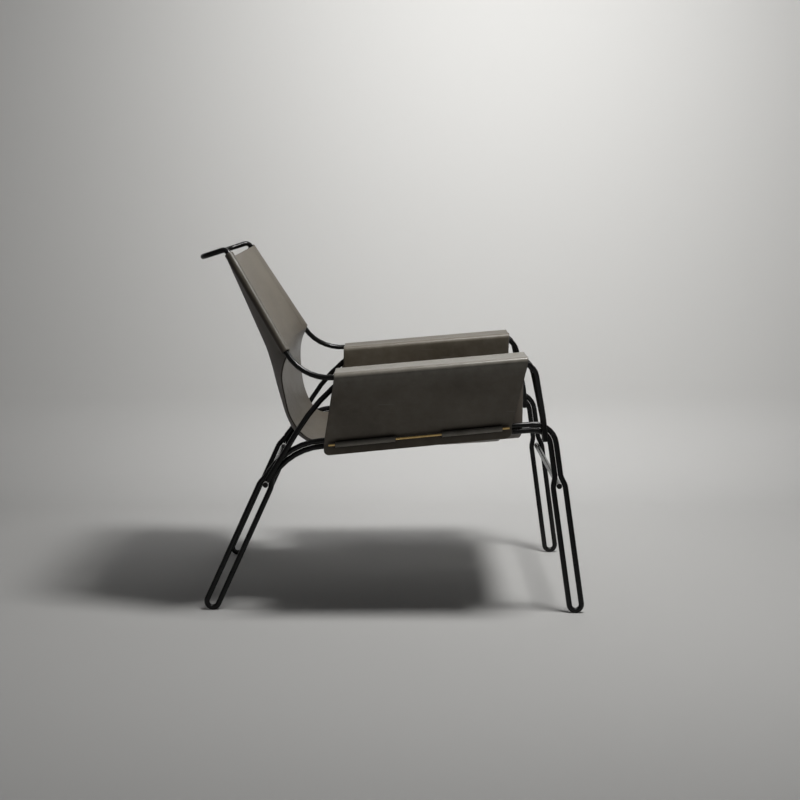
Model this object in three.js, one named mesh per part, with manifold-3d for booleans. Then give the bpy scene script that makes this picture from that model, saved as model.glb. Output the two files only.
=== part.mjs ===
// Leather sling lounge chair: bent round steel rod and saddle leather, millimetres, +Z up.
// The sitter faces +X and the sitter's right is -Y. The origin is on the floor, under the
// middle of the chair's length and width. Long places (x) are first measured from a line
// near the middle of the seat, and the whole chair is then shifted onto its origin.
import * as THREE from 'three';
import { mergeVertices } from 'three/addons/utils/BufferGeometryUtils.js';
import Module from 'manifold-3d';

const wasm = await Module();
wasm.setup();

// Stock and clearances
const rod = 12;
const rod_sides = 12;
const leather = 3.2;
const pin_diameter = 5;
const pin_sides = 16;
const clearance = 0.3;
const slit_clearance = 1;
const pair_gap = 0.4;
const weld_overlap = 2;

// Side frames: hairpin legs and a double rail, one closed loop of rod on each side
const rear_half_width = 287;
const front_half_width = 298;
const front_foot_splay = 18;
const leg_spacing = 26;
const foot_flat = 0.9;
const front_foot_x = 377.5;
const rear_foot_x = -406;
const front_leg_lean_share = 0.142;
const rear_leg_lean_share = 0.456;
const kink_height = 274;
const kink_length = 20;
const kink_radius = 20;
const rail_height = 377.5;
const rail_slope_share = 0.0794;
const front_bend_radius = 41;
const rear_bend_radius = 143;
const frame_bend_steps = 7;

// Back and arm rod: front end, arm, upright and head handle
const arm_front_x = 279.5;
const arm_front_z = 550.1;
const arm_rear_x = -204;
const arm_rear_z = 508.8;
const arm_inner_half_width = 258;
const arm_top_width = 108.5;
const arm_rear_closing = 8;
const arm_half_width = arm_inner_half_width + arm_top_width;
const arm_front_radius = 42;
const arm_rear_radius = 105;
const arm_rod_end_x = 310.6;
const arm_rod_end_z = 370.8;
const arm_weld_x = 306;
const arm_weld_z = 418;
const arm_weld_radius = 60;
const head_x = -370.5;
const head_z = 779;
const head_half_width = 267;
const head_radius = 14;
const handle_x = -425;
const handle_z = 761.4;
const handle_half_width = 245;
const handle_radius = 40;

// Support rods: rear leg, sweep, inner edge of the arm and front end
const support_end_x = -285;
const support_end_drop = 92.5;
const support_leave_x = -236;
const support_leave_drop = 12.5;
const support_leave_radius = 90;
const support_sweep_x = -187.3;
const support_sweep_z = 444.8;
const support_sweep_half_width = 291;
const support_sweep_radius = 375;
const support_arm_x = -104.2;
const support_arm_half_width = arm_inner_half_width + arm_rear_closing;
const support_arm_radius = 150;

// Back and seat sling
const back_top_margin = 12.5;
const back_bottom_margin = 71;
const back_top_sag = 45;
const back_bottom_sag = 73;
const sling_setback = 3.2;
const sleeve_hem = 20;
const hem_clearance = 5.4;
const seam_setback = 4;
const seam_gap = 0.8;
const seat_rear_x = -138;
const seat_rear_z = 321;
const seat_front_x = 262;
const seat_front_z = 350;
const sling_roundness = 2;
const seat_edge_roundness = 10;
const seat_flatness_share = 0.3;
const hem_middle_share = 0.5;

// Places down the waist: shares of the way from the back's lower edge to the seat's rear edge
const waist_edge_shares = [
  [-0.12, 0.05, 0.14],
  [-0.17, 0.11, 0.29],
  [-0.13, 0.68, 0.5],
  [-0.04, 1.02, 0.71],
  [0.17, 1.5, 0.9],
  [0.42, 1.6, 0.99],
  [0.75, 1.22, 1],
];
const lap_middle_shares = [
  [0.02, 0, 0.1],
  [0.04, 0, 0.22],
  [0.12, 0, 0.43],
  [0.23, 0, 0.63],
  [0.37, 0, 0.81],
  [0.58, 0, 0.92],
  [0.8, 0, 0.98],
];

// Places along the seat's middle: shares of its length and of its rise to the front
const seat_middle_shares = [
  [0, 0],
  [0.195, 0.14],
  [0.395, 0.38],
  [0.595, 0.6],
  [0.82, 0.78],
  [1, 1],
];

// Arm wraps, straps and lock pins
const pin_stand_off = 24;
const pin_rear_x = -152.5;
const pin_rear_drop = 2.1;
const pin_front_x = 232.7;
const pin_front_rise = 5.8;
const flap_margin = 22.5;
const flap_corner = 12;
const wrap_rear_top_x = -138;
const wrap_rear_flap_x = -162.5;
const wrap_front_top_x = 267;
const wrap_front_flap_x = 238;
const strap_width = 128.5;
const front_strap_x = 89;
const rear_strap_x = -138.2;

const half_rod = rod / 2;
const half_leather = leather / 2;
const half_pair = (rod + pair_gap) / 2;
const half_leg = leg_spacing / 2;
const foot_centre_z = half_leg + half_rod - foot_flat;
const touch = rod + clearance;
const wrap_radius = half_rod + clearance + half_leather;

const steel = { color: 0x131313, roughness: 0.42, metalness: 0.55 };
const hide = { color: 0x6a645c, roughness: 0.6, metalness: 0 };
const brass = { color: 0xb8924f, roughness: 0.3, metalness: 1 };

// A corner of a bent route: the place, the bend radius and the steps along the bend
function corner(at, radius = 0, steps = 0) {
  return { at, radius, steps };
}

const mix = THREE.MathUtils.lerp;
const place = (x, y, z) => new THREE.Vector3(x, y, z);

// A route of straight runs and true arcs, sampled only where it bends
class BentRoute extends THREE.Curve {
  constructor(corners) {
    super();
    this.stations = [];
    corners.forEach((here, index) => {
      const before = corners[index - 1];
      const after = corners[index + 1];
      if (before && after && here.radius > 0) {
        this.bend(before.at, here, after.at);
      } else {
        const from = (before ?? here).at;
        const to = (after ?? here).at;
        this.pass(here.at, to.clone().sub(from).normalize());
      }
    });
  }

  bend(before, here, after) {
    const back = before.clone().sub(here.at).normalize();
    const on = after.clone().sub(here.at).normalize();
    const turn = Math.PI - back.angleTo(on);
    const reach = here.radius * Math.tan(turn / 2);
    const middle = back.clone().add(on).normalize();
    const centre = here.at.clone().addScaledVector(middle, here.radius / Math.cos(turn / 2));
    const spoke = here.at.clone().addScaledVector(back, reach).sub(centre);
    const ahead = back.clone().negate();
    for (let step = 0; step <= here.steps; step += 1) {
      const angle = (turn * step) / here.steps;
      const point = centre.clone().addScaledVector(spoke, Math.cos(angle));
      point.addScaledVector(ahead, Math.sin(angle) * here.radius);
      const tangent = ahead.clone().multiplyScalar(Math.cos(angle));
      tangent.addScaledVector(spoke, -Math.sin(angle) / here.radius);
      this.pass(point, tangent.normalize());
    }
  }

  // Two bends that meet share one station
  pass(point, tangent) {
    const last = this.stations.at(-1);
    if (!last || last.point.distanceTo(point) > clearance / 2) {
      this.stations.push({ point, tangent });
    }
  }

  station(share) {
    return this.stations[Math.round(share * (this.stations.length - 1))];
  }

  getPointAt(share) {
    return this.station(share).point.clone();
  }

  getTangentAt(share) {
    return this.station(share).tangent.clone();
  }
}

// A round rod of the given diameter along a bent route
function rod_along(corners, diameter = rod, sides = rod_sides) {
  const route = new BentRoute(corners);
  const ring = [];
  for (let side = 0; side < sides; side += 1) {
    const angle = (2 * Math.PI * side) / sides;
    ring.push(new THREE.Vector2(Math.cos(angle), Math.sin(angle)).multiplyScalar(diameter / 2));
  }
  const options = { steps: route.stations.length - 1, extrudePath: route };
  return new THREE.ExtrudeGeometry(new THREE.Shape(ring), options);
}

// Positions only, with shared corners merged, as joining and cutting need it
function merged(geometry) {
  const bare = new THREE.BufferGeometry();
  bare.setAttribute('position', geometry.getAttribute('position').clone());
  bare.setIndex(geometry.getIndex());
  return mergeVertices(bare);
}

function solid_of(geometry) {
  const bare = merged(geometry);
  const vertProperties = new Float32Array(bare.getAttribute('position').array);
  const triVerts = new Uint32Array(bare.getIndex().array);
  return new wasm.Manifold(new wasm.Mesh({ numProp: 3, vertProperties, triVerts }));
}

function geometry_of(solid) {
  const result = solid.getMesh();
  const geometry = new THREE.BufferGeometry();
  geometry.setAttribute('position', new THREE.BufferAttribute(result.vertProperties, 3));
  geometry.setIndex(new THREE.BufferAttribute(result.triVerts, 1));
  return geometry;
}

// The same piece on the other side of the chair
function mirrored(geometry) {
  const copy = merged(geometry);
  copy.scale(1, -1, 1);
  const index = copy.getIndex();
  for (let face = 0; face < index.count; face += 3) {
    const second = index.getX(face + 1);
    index.setX(face + 1, index.getX(face + 2));
    index.setX(face + 2, second);
  }
  return copy;
}

// A sheet of leather: a grid of middle places, thickened to both sides
function leather_sheet(rows, columns, middle_at) {
  const middle = [];
  for (let row = 0; row <= rows; row += 1) {
    const line = [];
    for (let column = 0; column <= columns; column += 1) {
      line.push(middle_at(row, column));
    }
    middle.push(line);
  }
  const across = columns + 1;
  const layer = (rows + 1) * across;
  const positions = new Float32Array(2 * layer * 3);
  for (let row = 0; row <= rows; row += 1) {
    for (let column = 0; column <= columns; column += 1) {
      const down = middle[Math.min(row + 1, rows)][column].clone();
      down.sub(middle[Math.max(row - 1, 0)][column]);
      const over = middle[row][Math.min(column + 1, columns)].clone();
      over.sub(middle[row][Math.max(column - 1, 0)]);
      const normal = down.cross(over).normalize();
      const spot = row * across + column;
      const upper = middle[row][column].clone().addScaledVector(normal, half_leather);
      const lower = middle[row][column].clone().addScaledVector(normal, -half_leather);
      upper.toArray(positions, 3 * spot);
      lower.toArray(positions, 3 * (layer + spot));
    }
  }
  const faces = [];
  const quad = (a, b, c, d) => faces.push(a, b, c, a, c, d);
  for (let row = 0; row < rows; row += 1) {
    for (let column = 0; column < columns; column += 1) {
      const a = row * across + column;
      const b = a + across;
      quad(a, b, b + 1, a + 1);
      quad(layer + a, layer + a + 1, layer + b + 1, layer + b);
    }
  }
  for (let row = 0; row < rows; row += 1) {
    const a = row * across;
    const b = a + across;
    quad(a, layer + a, layer + b, b);
    quad(b + columns, layer + b + columns, layer + a + columns, a + columns);
  }
  const last = rows * across;
  for (let column = 0; column < columns; column += 1) {
    quad(column + 1, layer + column + 1, layer + column, column);
    quad(last + column, layer + last + column, layer + last + column + 1, last + column + 1);
  }
  const geometry = new THREE.BufferGeometry();
  geometry.setAttribute('position', new THREE.BufferAttribute(positions, 3));
  geometry.setIndex(faces);
  return geometry;
}

// Flat lines, in whichever plane they are used
const flat = (u, v) => new THREE.Vector2(u, v);

function meet(from, along, other, other_along) {
  const between = other.clone().sub(from);
  const share = between.cross(other_along) / along.cross(other_along);
  return from.clone().addScaledVector(along, share);
}

function turned_left(along) {
  return flat(-along.y, along.x);
}

// Side frame, drawn in x and z and then stood at its distance from the chair's middle
const rail_way = flat(1, rail_slope_share).normalize();
const rail_middle = flat(0, rail_height);
const front_foot = flat(front_foot_x, foot_centre_z);
const rear_foot = flat(rear_foot_x, foot_centre_z);
const front_leg_way = flat(-front_leg_lean_share, 1).normalize();
const rear_leg_way = flat(rear_leg_lean_share, 1).normalize();
const front_kink = kink_place(front_foot, front_leg_way);
const rear_kink = kink_place(rear_foot, rear_leg_way);

function kink_place(foot, way) {
  return foot.clone().addScaledVector(way, (kink_height - foot.y) / way.y);
}

function side_y(x, z) {
  const forward = Math.max(0, (x - rear_kink.x) / (front_kink.x - rear_kink.x));
  const splay = (front_foot_splay * (rail_height - z)) / rail_height;
  return rear_half_width + forward * (front_half_width - rear_half_width + splay);
}

function on_side(at) {
  return place(at.x, side_y(at.x, at.y), at.y);
}

// Height of the double rail's middle at a place along the chair
function rail_z(x) {
  return rail_height + x * rail_slope_share;
}

// One end of the loop, from the upper rail round the hairpin to the lower rail
function frame_end(foot, leg_way, outward, bend_radius, start_x) {
  const kink = kink_place(foot, leg_way);
  const join = kink.clone().addScaledVector(leg_way, kink_length);
  const rail_up = turned_left(rail_way);
  const rod_corners = (side) => {
    const leg_line = kink.clone().addScaledVector(outward, side * half_pair);
    const rail_line = rail_middle.clone().addScaledVector(rail_up, side * half_pair);
    const bend = meet(leg_line, leg_way, rail_line, rail_way);
    return [
      corner(flat(start_x, rail_z(start_x)).addScaledVector(rail_up, side * half_pair)),
      corner(bend, bend_radius + side * half_pair, frame_bend_steps),
      corner(join.clone().addScaledVector(outward, side * half_pair), kink_radius, 1),
      corner(kink.clone().addScaledVector(outward, side * half_leg), kink_radius, 1),
    ];
  };
  const toe = (side) => {
    const at = foot.clone().addScaledVector(outward, side * half_leg);
    return corner(at.addScaledVector(leg_way, -half_leg), half_leg, 5);
  };
  const corners = [...rod_corners(1), toe(1), toe(-1), ...rod_corners(-1).reverse()];
  return rod_along(corners.map(({ at, radius, steps }) => corner(on_side(at), radius, steps)));
}

function side_frame() {
  const front_outward = flat(1, front_leg_lean_share).normalize();
  const rear_outward = flat(-1, rear_leg_lean_share).normalize();
  const front = frame_end(front_foot, front_leg_way, front_outward, front_bend_radius, -weld_overlap);
  const rear = frame_end(rear_foot, rear_leg_way, rear_outward, rear_bend_radius, weld_overlap);
  return floored(solid_of(front).add(solid_of(rear)));
}

// Feet rubbed flat where they stand on the floor
function floored(solid) {
  const reach = leg_spacing * 4;
  const below = new THREE.BoxGeometry(reach * 8, reach * 8, reach);
  below.translate(0, reach * 3, -reach / 2);
  return geometry_of(solid.subtract(solid_of(below)));
}

// Cross bars lie in the fork where each leg's two rods part
function cross_bar(kink, past) {
  const half = side_y(kink.x, kink.y) + past;
  return rod_along([corner(place(kink.x, -half, kink.y)), corner(place(kink.x, half, kink.y))]);
}

// Back and arm rod
const arm_front = place(arm_front_x, arm_half_width, arm_front_z);
const arm_rear = place(arm_rear_x, arm_half_width, arm_rear_z);
const head = place(head_x, head_half_width, head_z);

function beside_frame(x, z, sign) {
  return place(x, side_y(x, z) + sign * touch, z);
}

function back_arm_rod() {
  const half = [
    corner(beside_frame(arm_rod_end_x, arm_rod_end_z, 1)),
    corner(beside_frame(arm_weld_x, arm_weld_z, 1), arm_weld_radius, 2),
    corner(arm_front, arm_front_radius, 6),
    corner(arm_rear, arm_rear_radius, 7),
    corner(head, head_radius, 5),
    corner(place(handle_x, handle_half_width, handle_z), handle_radius, 5),
  ];
  const other = half.map(({ at, radius, steps }) => corner(place(at.x, -at.y, at.z), radius, steps));
  return rod_along([...half, ...other.reverse()]);
}

// Support rods
const arm_slope = (arm_front_z - arm_rear_z) / (arm_front_x - arm_rear_x);
const arm_z = (x) => arm_rear_z + (x - arm_rear_x) * arm_slope;
const support_front = place(arm_front_x, arm_inner_half_width, arm_front_z);
const support_arm = place(support_arm_x, support_arm_half_width, arm_z(support_arm_x));

function support_rod() {
  const sweep = place(support_sweep_x, support_sweep_half_width, support_sweep_z);
  return rod_along([
    corner(beside_frame(support_end_x, rail_height - support_end_drop, 1)),
    corner(beside_frame(support_leave_x, rail_height - support_leave_drop, 1), support_leave_radius, 1),
    corner(sweep, support_sweep_radius, 3),
    corner(support_arm, support_arm_radius, 4),
    corner(support_front, arm_front_radius, 6),
    corner(beside_frame(arm_weld_x, arm_weld_z, -1), arm_weld_radius, 2),
    corner(beside_frame(arm_rod_end_x, arm_rod_end_z, -1)),
  ]);
}

// Lock pins run beside the rails and climb a little more than they do
const pin_rear = pin_place(pin_rear_x, -pin_rear_drop);
const pin_front = pin_place(pin_front_x, pin_front_rise);

function pin_place(x, rise) {
  return place(x, side_y(x, rail_z(x)) + pin_stand_off, rail_z(x) + rise);
}

function pin_at(x) {
  return pin_rear.clone().lerp(pin_front, (x - pin_rear_x) / (pin_front_x - pin_rear_x));
}

function lock_pin() {
  return rod_along([corner(pin_rear), corner(pin_front)], pin_diameter, pin_sides);
}

// Arm wrap: section at a place along the chair, from the seat seam over the arm to the flap
function support_centre(x) {
  const share = (x - support_arm.x) / (support_front.x - support_arm.x);
  return support_arm.clone().lerp(support_front, share);
}

function rotated(along, angle) {
  return along.clone().rotateAround(flat(0, 0), angle);
}

function wrap_lines(x) {
  const outer_rod = flat(arm_half_width, arm_z(x));
  const inner = support_centre(x);
  const inner_rod = flat(inner.y, inner.z);
  const pin = pin_at(x);
  const pin_centre = flat(pin.y, pin.z);
  const seam = flat(side_y(x, rail_z(x)) - wrap_radius - seam_setback, rail_z(x));
  const to_rod = inner_rod.clone().sub(seam);
  const inner_way = rotated(to_rod, Math.asin(wrap_radius / to_rod.length())).normalize();
  const to_arm = outer_rod.clone().sub(pin_centre);
  const lean = Math.asin((2 * wrap_radius) / to_arm.length());
  const down = rotated(to_arm, -lean).normalize().negate();
  const inward = turned_left(down).negate();
  const fold = pin_centre.clone().addScaledVector(inward, wrap_radius);
  return { outer_rod, inner_rod, pin_centre, seam, inner_way, down, inward, fold };
}

// Corners of the wrap's middle line: the outer flap hangs straight down below the pin
function wrap_corners(x) {
  const lines = wrap_lines(x);
  const top = flat(0, arm_z(x) + wrap_radius);
  const level = flat(1, 0);
  const upright = flat(0, 1);
  const hanging = lines.pin_centre.clone().addScaledVector(level, -wrap_radius);
  return [
    lines.seam,
    meet(lines.seam, lines.inner_way, top, level),
    meet(lines.fold, lines.down, top, level),
    meet(lines.fold, lines.down, hanging, upright),
    hanging.clone().addScaledVector(upright, -flap_margin),
  ].map((at) => place(x, at.x, at.y));
}

const wrap_bend_steps = 6;
const flap_bend_steps = 2;
const flap_corner_steps = 4;
const inner_shares = [0.25, 0.5, 0.75];
const flap_shares = [0.15, 0.35, 0.6, 0.8];
const wrap_row_shares = [0, 0.03, 0.1, 0.25, 0.4, 0.6, 0.75, 0.9, 0.97, 1];

// The wrap's middle line at one x: seam, inner flap, arm top, outer flap, lower edge
function wrap_line(x) {
  const [seam, inner_top, outer_top, flap_bend, lowest] = wrap_corners(x);
  const route = new BentRoute([
    corner(seam),
    corner(inner_top, wrap_radius, wrap_bend_steps),
    corner(outer_top, wrap_radius, wrap_bend_steps),
    corner(flap_bend, wrap_radius, flap_bend_steps),
    corner(lowest),
  ]);
  return route.stations.map(({ point }) => point);
}

// Columns of the wrap: a station to start from, a share of the way on, and the narrowing there
function wrap_columns() {
  const inner = [0, ...inner_shares].map((share) => ({
    from: 0, share, rear_x: wrap_rear_top_x, front_x: mix(seat_front_x, wrap_front_top_x, share),
  }));
  const narrowed = (from, share, taper) => ({
    from,
    share,
    rear_x: mix(wrap_rear_top_x, wrap_rear_flap_x, taper),
    front_x: mix(wrap_front_top_x, wrap_front_flap_x, taper),
  });
  const flap_start = 2 * (wrap_bend_steps + 1);
  const columns = [...inner];
  for (let from = 1; from <= flap_start; from += 1) {
    columns.push(narrowed(from, 0, 0));
  }
  flap_shares.forEach((share) => columns.push(narrowed(flap_start, share, share)));
  const flap_end = flap_start + flap_bend_steps + 1;
  for (let from = flap_start + 1; from < flap_end; from += 1) {
    columns.push(narrowed(from, 0, 1));
  }
  for (let step = 0; step <= flap_corner_steps; step += 1) {
    const angle = (Math.PI / 2) * (step / flap_corner_steps);
    const column = narrowed(flap_end, 0, 1);
    column.rear_x += flap_corner * (1 - Math.cos(angle));
    column.front_x -= flap_corner * (1 - Math.cos(angle));
    column.height = flap_corner * (1 - Math.sin(angle));
    columns.push(column);
  }
  return columns;
}

function arm_wrap() {
  const columns = wrap_columns();
  return leather_sheet(wrap_row_shares.length - 1, columns.length - 1, (row, column) => {
    const { from, share, rear_x, front_x, height } = columns[column];
    const line = wrap_line(mix(rear_x, front_x, wrap_row_shares[row]));
    if (height !== undefined) {
      return line.at(-1).clone().setZ(line.at(-1).z + height);
    }
    return line[from].clone().lerp(line[from + 1], share);
  });
}

// Upright of the back rod, from the arm's rear corner to the head corner
const upright_way = head.clone().sub(arm_rear).normalize();
const upright_length = head.distanceTo(arm_rear);
const upright_inward = place(0, -1, 0).projectOnPlane(upright_way).normalize();

function upright_at(along) {
  return arm_rear.clone().addScaledVector(upright_way, along);
}

const sleeve_low = back_bottom_margin;
const sleeve_high = upright_length - back_top_margin;
const sleeve_rows = 4;
const sleeve_turns = 12;
const sling_leave_angle = Math.atan(back_bottom_sag / arm_half_width) * 2;

// Directions across the upright, by angle from inward (0) towards the sitter
const upright_forward = upright_way.clone().cross(upright_inward);

function round_upright(angle, reach) {
  const at = upright_inward.clone().multiplyScalar(Math.cos(angle) * reach);
  return at.addScaledVector(upright_forward, Math.sin(angle) * reach);
}

const leave_angle = Math.PI / 2 - sling_leave_angle;
const hem_way = round_upright(leave_angle - Math.PI / 2, 1);
const hem_side = round_upright(leave_angle, 1);

// Sleeve: the sling's hem goes on round the upright and lies against the sling's back
function back_sleeve() {
  const hem_end = hem_side.clone().multiplyScalar(wrap_radius - leather - hem_clearance);
  hem_end.addScaledVector(hem_way, sleeve_hem);
  const hem_angle = Math.atan2(hem_end.dot(upright_forward), hem_end.dot(upright_inward));
  const last = 2 * Math.PI + hem_angle - Math.acos(wrap_radius / hem_end.length());
  const first = leave_angle + (half_leather + seam_gap) / wrap_radius;
  const section = [];
  for (let turn = 0; turn <= sleeve_turns; turn += 1) {
    section.push(round_upright(mix(first, last, turn / sleeve_turns), wrap_radius));
  }
  section.push(section.at(-1).clone().lerp(hem_end, hem_middle_share));
  section.push(hem_end);
  return leather_sheet(sleeve_rows, section.length - 1, (row, column) => {
    const at = upright_at(mix(sleeve_low, sleeve_high, row / sleeve_rows));
    return at.add(section[column]);
  });
}

// Sling: edge and middle places of each cross line, from the head down to the front of the seat
const back_rows = 5;
const back_sag_way = place(-upright_way.z, 0, upright_way.x).normalize();
const back_low = back_line(1);
const seat_rear = seat_line(0, 0);

function back_line(share) {
  const edge = upright_at(mix(sleeve_high, sleeve_low, share));
  edge.addScaledVector(hem_side, wrap_radius).addScaledVector(hem_way, sling_setback);
  const middle = place(edge.x, 0, edge.z);
  middle.addScaledVector(back_sag_way, mix(back_top_sag, back_bottom_sag, share));
  return { edge, middle, flatness: 0 };
}

function seat_line(length_share, rise_share) {
  const x = mix(seat_rear_x, seat_front_x, length_share);
  const seam = wrap_lines(x).seam;
  return {
    edge: place(x, seam.x, seam.y - half_leather - seam_gap),
    middle: place(x, 0, mix(seat_rear_z, seat_front_z, rise_share)),
    flatness: seat_flatness_share,
  };
}

function between(from, to, shares) {
  return place(...shares).multiply(to.clone().sub(from)).add(from);
}

function waist_lines() {
  return waist_edge_shares.map((edge_shares, index) => ({
    edge: between(back_low.edge, seat_rear.edge, edge_shares),
    middle: between(back_low.middle, seat_rear.middle, lap_middle_shares[index]),
    flatness: (seat_flatness_share * index) / waist_edge_shares.length,
  }));
}

function sling_lines() {
  const lines = [];
  for (let row = 0; row <= back_rows; row += 1) {
    lines.push(back_line(row / back_rows));
  }
  const seat = seat_middle_shares.map((shares) => seat_line(...shares));
  return [...lines, ...waist_lines(), ...seat];
}

function smooth(places) {
  return new THREE.CatmullRomCurve3(places, false, 'catmullrom');
}

const sling = sling_lines();
const sling_middle = smooth(sling.map((line) => line.middle));
const free_edge = smooth(sling.slice(back_rows).map((line) => line.edge));

// The edge is straight along the sleeve, turns in at its end and is smooth from there on
function sling_edge(line) {
  if (line <= back_rows) {
    return sling[0].edge.clone().lerp(back_low.edge, line / back_rows);
  }
  return free_edge.getPoint((line - back_rows) / (sling.length - 1 - back_rows));
}

// A place on the sling: along from 0 at the head to 1 at the seat front, across from -1 to 1
function sling_at(along, across) {
  const line = along * (sling.length - 1);
  const edge = sling_edge(line);
  const middle = sling_middle.getPoint(along);
  const before = sling[Math.floor(line)];
  const after = sling[Math.min(Math.floor(line) + 1, sling.length - 1)];
  const flatness = mix(before.flatness, after.flatness, line - Math.floor(line));
  const round = Math.abs(across) ** sling_roundness;
  const steep = Math.abs(across) ** seat_edge_roundness;
  const rise = mix(round, steep, flatness);
  return place(
    mix(middle.x, edge.x, round),
    across * edge.y,
    mix(middle.z, edge.z, rise),
  );
}

const across_shares = [0, 0.25, 0.5, 0.7, 0.83, 0.91, 0.96, 0.985, 1];

function both_ways(shares) {
  const other = shares.slice(1).reverse().map((share) => -share);
  return [...other, ...shares];
}

function back_seat_sling() {
  const across = both_ways(across_shares);
  const rows = 2 * (sling.length - 1);
  return leather_sheet(rows, across.length - 1, (row, column) => {
    return sling_at(row / rows, across[column]);
  });
}

// Straps: round both pins, through the flaps' slits, under the rails and the seat
const strap_rows = 6;
const strap_seat_shares = [0.91, 0.83, 0.7, 0.5, 0.25, 0];
const loop_radius = pin_diameter / 2 + clearance + half_leather;
const search_steps = 20;
const slope_step_share = 0.0025;

// Share of the way along the sling where the seat has a given place
function seat_along(x) {
  let low = 1 - (seat_middle_shares.length - 1) / (sling.length - 1);
  let high = 1;
  for (let step = 0; step < search_steps; step += 1) {
    const half_way = (low + high) / 2;
    if (sling_middle.getPoint(half_way).x < x) {
      low = half_way;
    } else {
      high = half_way;
    }
  }
  return low;
}

// A place one sheet below the seat, square to its cross line
function under_seat(x, across) {
  const along = seat_along(x);
  const at = sling_at(along, across);
  const ahead = sling_at(along, across + slope_step_share);
  const slope = ahead.sub(sling_at(along, across - slope_step_share));
  const away = place(0, slope.z, -slope.y).normalize();
  return place(x, at.y, at.z).addScaledVector(away, leather + 2 * clearance);
}

// The strap's level run through the flap, and where it turns down beside the rail
function strap_run(x) {
  const lines = wrap_lines(x);
  const way = flat(-1, 0);
  const away = turned_left(way);
  const from = lines.pin_centre.clone().addScaledVector(away, loop_radius);
  const tail = from.clone().addScaledVector(away, -leather - clearance);
  const knee = from.clone().addScaledVector(way, wrap_radius + 2 * leather + half_leather / 2);
  return { ...lines, way, away, from, tail, knee };
}

// The line from a place that just clears the underside of the rail's lower rod
function under_rod(at, rail_rod, turn) {
  const to_rod = rail_rod.clone().sub(at);
  return rotated(to_rod, turn * Math.asin(wrap_radius / to_rod.length())).normalize();
}

function strap_line(x) {
  const run = strap_run(x);
  const beside_pin = (inward, down) => {
    const at = run.pin_centre.clone().addScaledVector(run.inward, inward * loop_radius);
    return at.addScaledVector(run.down, down * loop_radius);
  };
  const rail_rod = flat(side_y(x, rail_z(x)), rail_z(x) - half_pair);
  const seat = strap_seat_shares.map((share) => under_seat(x, share));
  const first = flat(seat[0].y, seat[0].z);
  const down_way = under_rod(run.knee, rail_rod, 1);
  const seat_way = under_rod(first, rail_rod, -1);
  const flat_corners = [
    corner(run.tail.clone().addScaledVector(run.way, 2 * wrap_radius)),
    corner(meet(beside_pin(1, 0), run.down, run.tail, run.way), leather, 2),
    corner(beside_pin(1, -1), loop_radius, 3),
    corner(beside_pin(-1, -1), loop_radius, 3),
    corner(meet(beside_pin(-1, 0), run.down, run.from, run.way), loop_radius, 2),
    corner(run.knee, leather, 2),
    corner(meet(run.knee, down_way, first, seat_way), wrap_radius, 4),
  ];
  const route = flat_corners.map(({ at, radius, steps }) => {
    return corner(place(x, at.x, at.y), radius, steps);
  });
  seat.forEach((at) => route.push(corner(at)));
  return new BentRoute(route).stations.map(({ point }) => point);
}

function strap(from_x) {
  const lines = [];
  for (let row = 0; row <= strap_rows; row += 1) {
    const half = strap_line(from_x + (strap_width * row) / strap_rows);
    const other = half.slice(0, -1).reverse().map((at) => place(at.x, -at.y, at.z));
    lines.push([...half, ...other]);
  }
  return leather_sheet(strap_rows, lines[0].length - 1, (row, column) => lines[row][column]);
}

// The slit that lets a strap's two layers through the flap
function slit(from_x) {
  const points = [];
  for (const x of [from_x - clearance, from_x + strap_width + clearance]) {
    const run = strap_run(x);
    const room = half_leather + slit_clearance;
    for (const reach of [0, 2 * wrap_radius]) {
      const lower = run.from.clone().addScaledVector(run.away, room);
      const upper = run.tail.clone().addScaledVector(run.away, -room);
      for (const at of [lower, upper]) {
        at.addScaledVector(run.way, reach);
        points.push([x, at.x, at.y]);
      }
    }
  }
  return wasm.Manifold.hull(points);
}

function slit_arm_wrap() {
  const cuts = slit(front_strap_x).add(slit(rear_strap_x));
  return geometry_of(solid_of(arm_wrap()).subtract(cuts));
}

const pieces = [
  ['side_frame_right', mirrored(side_frame()), steel],
  ['side_frame_left', side_frame(), steel],
  ['back_arm_rod', back_arm_rod(), steel],
  ['arm_support_right', mirrored(support_rod()), steel],
  ['arm_support_left', support_rod(), steel],
  ['front_cross_bar', cross_bar(front_kink, half_rod), steel],
  ['rear_cross_bar', cross_bar(rear_kink, half_rod), steel],
  ['back_seat_sling', back_seat_sling(), hide],
  ['back_sleeve_right', mirrored(back_sleeve()), hide],
  ['back_sleeve_left', back_sleeve(), hide],
  ['arm_wrap_right', mirrored(slit_arm_wrap()), hide],
  ['arm_wrap_left', slit_arm_wrap(), hide],
  ['front_strap', strap(front_strap_x), hide],
  ['rear_strap', strap(rear_strap_x), hide],
  ['lock_pin_right', mirrored(lock_pin()), brass],
  ['lock_pin_left', lock_pin(), brass],
];

// The chair shifted so that its length is centred on the origin
const chair = new THREE.Group();
chair.name = 'sling_chair';
for (const [name, geometry, look] of pieces) {
  const mesh = new THREE.Mesh(geometry, new THREE.MeshStandardMaterial(look));
  mesh.name = name;
  geometry.computeVertexNormals();
  chair.add(mesh);
}
const reach = new THREE.Box3().setFromObject(chair);
const shift = -(reach.min.x + reach.max.x) / 2;
chair.children.forEach((mesh) => mesh.geometry.translate(shift, 0, 0));

export default chair;
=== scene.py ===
import math

import bpy
import numpy as np
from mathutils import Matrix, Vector, noise


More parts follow.
